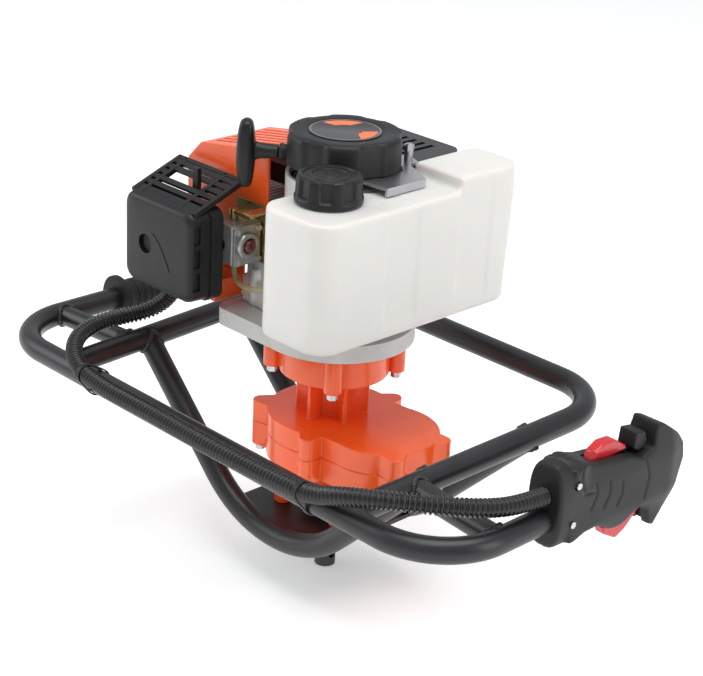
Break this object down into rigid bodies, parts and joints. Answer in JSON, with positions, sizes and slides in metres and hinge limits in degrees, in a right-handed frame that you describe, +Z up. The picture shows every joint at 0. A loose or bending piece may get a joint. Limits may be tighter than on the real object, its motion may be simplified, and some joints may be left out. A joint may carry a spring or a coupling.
{
  "type": "ice fishing auger",
  "caption": "Petrol ice auger power head: engine with fuel tank on a reduction gearbox, slung in a tube frame with a left grip and a right throttle handle.",
  "frame": {"origin": "centre of the output shaft's lower end", "axes": "+Z up along the output shaft, +X along the front handle bar towards the throttle handle, +Y from the front bar to the rear bail"},
  "size_m": [0.6265, 0.3654, 0.437],
  "materials": {
    "black_tube": "semi-gloss black powder coat",
    "orange_case": "gloss orange paint on cast aluminium",
    "black_rubber": "matt moulded rubber",
    "black_plastic": "fine-textured black moulded plastic",
    "conduit_plastic": "corrugated black polyethylene",
    "red_plastic": "gloss red moulded plastic",
    "orange_plastic": "gloss orange moulded plastic",
    "tank_plastic": "translucent white blow-moulded polyethylene",
    "zinc_steel": "bright zinc plate",
    "yellow_zinc": "yellow passivated zinc plate",
    "machined_steel": "ground steel",
    "dark_steel": "dark oiled steel",
    "cast_aluminium": "bare die casting",
    "cast_zinc": "bare die-cast carburettor metal",
    "white_ceramic": "glazed ceramic and plated steel",
    "green_gasket": "moulded heat insulator",
    "foam": "open-cell foam",
    "friction_lining": "lined steel shoe",
    "primer_rubber": "clear red rubber",
    "rope": "braided polyester rope",
    "fuel_hose": "translucent fuel hose"
  },
  "bodies": {
    "frame": {"front_handle_tube": "black_tube", "rear_bail_tube": "black_tube", "cradle_tubes": "black_tube", "handle_braces": "black_tube", "gearbox_plate": "black_tube", "left_grip": "black_rubber", "throttle_inner_shell": "black_plastic", "throttle_outer_shell": "black_plastic", "throttle_screws": "zinc_steel", "throttle_conduit": "conduit_plastic", "cable_ties": "black_plastic", "gearbox_lower_case": "orange_case", "gearbox_upper_case": "orange_case", "gearbox_bolts": "zinc_steel", "gearbox_bearings": "machined_steel", "output_seal": "black_rubber", "lower_crankcase": "cast_aluminium", "upper_crankcase": "cast_aluminium", "main_bearings": "machined_steel", "cylinder": "cast_aluminium", "spark_plug": "white_ceramic", "spark_plug_boot": "black_rubber", "ignition_coil": "black_plastic", "muffler": "dark_steel", "muffler_cover": "black_tube", "intake_insulator": "green_gasket", "carburettor": "cast_zinc", "throttle_bracket": "yellow_zinc", "air_filter_base": "black_plastic", "air_filter_element": "foam", "air_filter_cover": "black_plastic", "engine_shroud": "orange_plastic", "fuel_tank": "tank_plastic", "tank_bracket": "zinc_steel", "bracket_stud": "zinc_steel", "fuel_line": "fuel_hose", "starter_housing": "black_plastic", "starter_spring": "machined_steel"},
    "output": {"output_shaft": "dark_steel", "output_gear": "machined_steel"},
    "idler": {"idler_gears": "machined_steel"},
    "input": {"input_pinion": "machined_steel", "clutch_drum": "machined_steel"},
    "crank": {"crankshaft": "machined_steel", "flywheel": "cast_aluminium", "clutch_shoes": "friction_lining"},
    "piston": {"piston": "cast_aluminium", "connecting_rod": "machined_steel"},
    "starter_pulley": {"starter_pulley": "black_plastic"},
    "starter_handle": {"starter_handle": "black_plastic", "starter_rope": "rope"},
    "cap_gasket": {"cap_gasket": "black_rubber"},
    "fuel_cap": {"fuel_cap": "black_plastic"},
    "throttle_trigger": {"throttle_trigger": "red_plastic"},
    "lockout_lever": {"lockout_lever": "red_plastic"},
    "stop_switch": {"stop_switch": "black_plastic"},
    "throttle_lever": {"throttle_lever": "yellow_zinc"},
    "primer_bulb": {"primer_bulb": "primer_rubber"},
    "choke_lever": {"choke_lever": "black_plastic"}
  },
  "joints": [
    {"name": "output_shaft_spin", "type": "hinge", "parent": "frame", "child": "output", "pos_m": [0, 0, 0.1], "axis": [0, 0, 1], "continuous": true},
    {"name": "idler_spin", "type": "hinge", "parent": "frame", "child": "idler", "pos_m": [0.05967, 0.00627, 0.13], "axis": [0, 0, 1], "continuous": true},
    {"name": "input_spin", "type": "hinge", "parent": "frame", "child": "input", "pos_m": [0, 0, 0.18], "axis": [0, 0, 1], "continuous": true},
    {"name": "crank_spin", "type": "hinge", "parent": "frame", "child": "crank", "pos_m": [0, 0, 0.32], "axis": [0, 0, 1], "continuous": true},
    {"name": "piston_slide", "type": "slide", "parent": "frame", "child": "piston", "axis": [1, 0, 0], "range_m": [0, 0.034]},
    {"name": "starter_pull", "type": "slide", "parent": "frame", "child": "starter_handle", "axis": [-0.7169, -0.6972, 0], "range_m": [0, 0.6], "stiffness_N_per_m": 15, "springref_m": -0.4, "deforming": ["starter_rope"]},
    {"name": "starter_pulley_spin", "type": "hinge", "parent": "frame", "child": "starter_pulley", "pos_m": [0, 0, 0.408], "axis": [0, 0, 1], "range_deg": [0, 1150]},
    {"name": "cap_turn", "type": "hinge", "parent": "cap_gasket", "child": "fuel_cap", "pos_m": [0.052, -0.067, 0.4], "axis": [0, 0, 1], "range_deg": [0, 721]},
    {"name": "cap_rise", "type": "slide", "parent": "frame", "child": "cap_gasket", "axis": [0, 0, 1], "range_m": [0, 0.008]},
    {"name": "trigger_squeeze", "type": "hinge", "parent": "frame", "child": "throttle_trigger", "pos_m": [0.292, 0.08, 0.172], "axis": [1, 0, 0], "range_deg": [-16, 0], "stiffness_Nm_per_rad": 0.4, "springref_deg": 17.19},
    {"name": "carburettor_lever_turn", "type": "hinge", "parent": "frame", "child": "throttle_lever", "pos_m": [-0.076, -0.0595, 0.345], "axis": [0, 0, 1], "range_deg": [-55, 0]},
    {"name": "lockout_press", "type": "hinge", "parent": "frame", "child": "lockout_lever", "pos_m": [0.292, 0.007, 0.225], "axis": [1, 0, 0], "range_deg": [-6, 0], "stiffness_Nm_per_rad": 0.6, "springref_deg": 17.19},
    {"name": "stop_switch_slide", "type": "slide", "parent": "frame", "child": "stop_switch", "axis": [0, 1, 0], "range_m": [-0.004, 0]},
    {"name": "primer_press", "type": "slide", "parent": "frame", "child": "primer_bulb", "axis": [-1, 0, 0], "range_m": [0, 0.003], "stiffness_N_per_m": 600, "springref_m": -0.001},
    {"name": "choke_turn", "type": "hinge", "parent": "frame", "child": "choke_lever", "pos_m": [-0.112, -0.073, 0.334], "axis": [0, 1, 0], "range_deg": [-40, 0]}
  ],
  "couplings": [
    {"joint": "idler_spin", "follows": "output_shaft_spin", "ratio": -7},
    {"joint": "input_spin", "follows": "output_shaft_spin", "ratio": 23},
    {"joint": "starter_pulley_spin", "follows": "starter_pull", "rad_per_m": 33.333},
    {"joint": "cap_turn", "follows": "cap_rise", "rad_per_m": 1570.8},
    {"joint": "carburettor_lever_turn", "follows": "trigger_squeeze", "ratio": 3.4375}
  ]
}
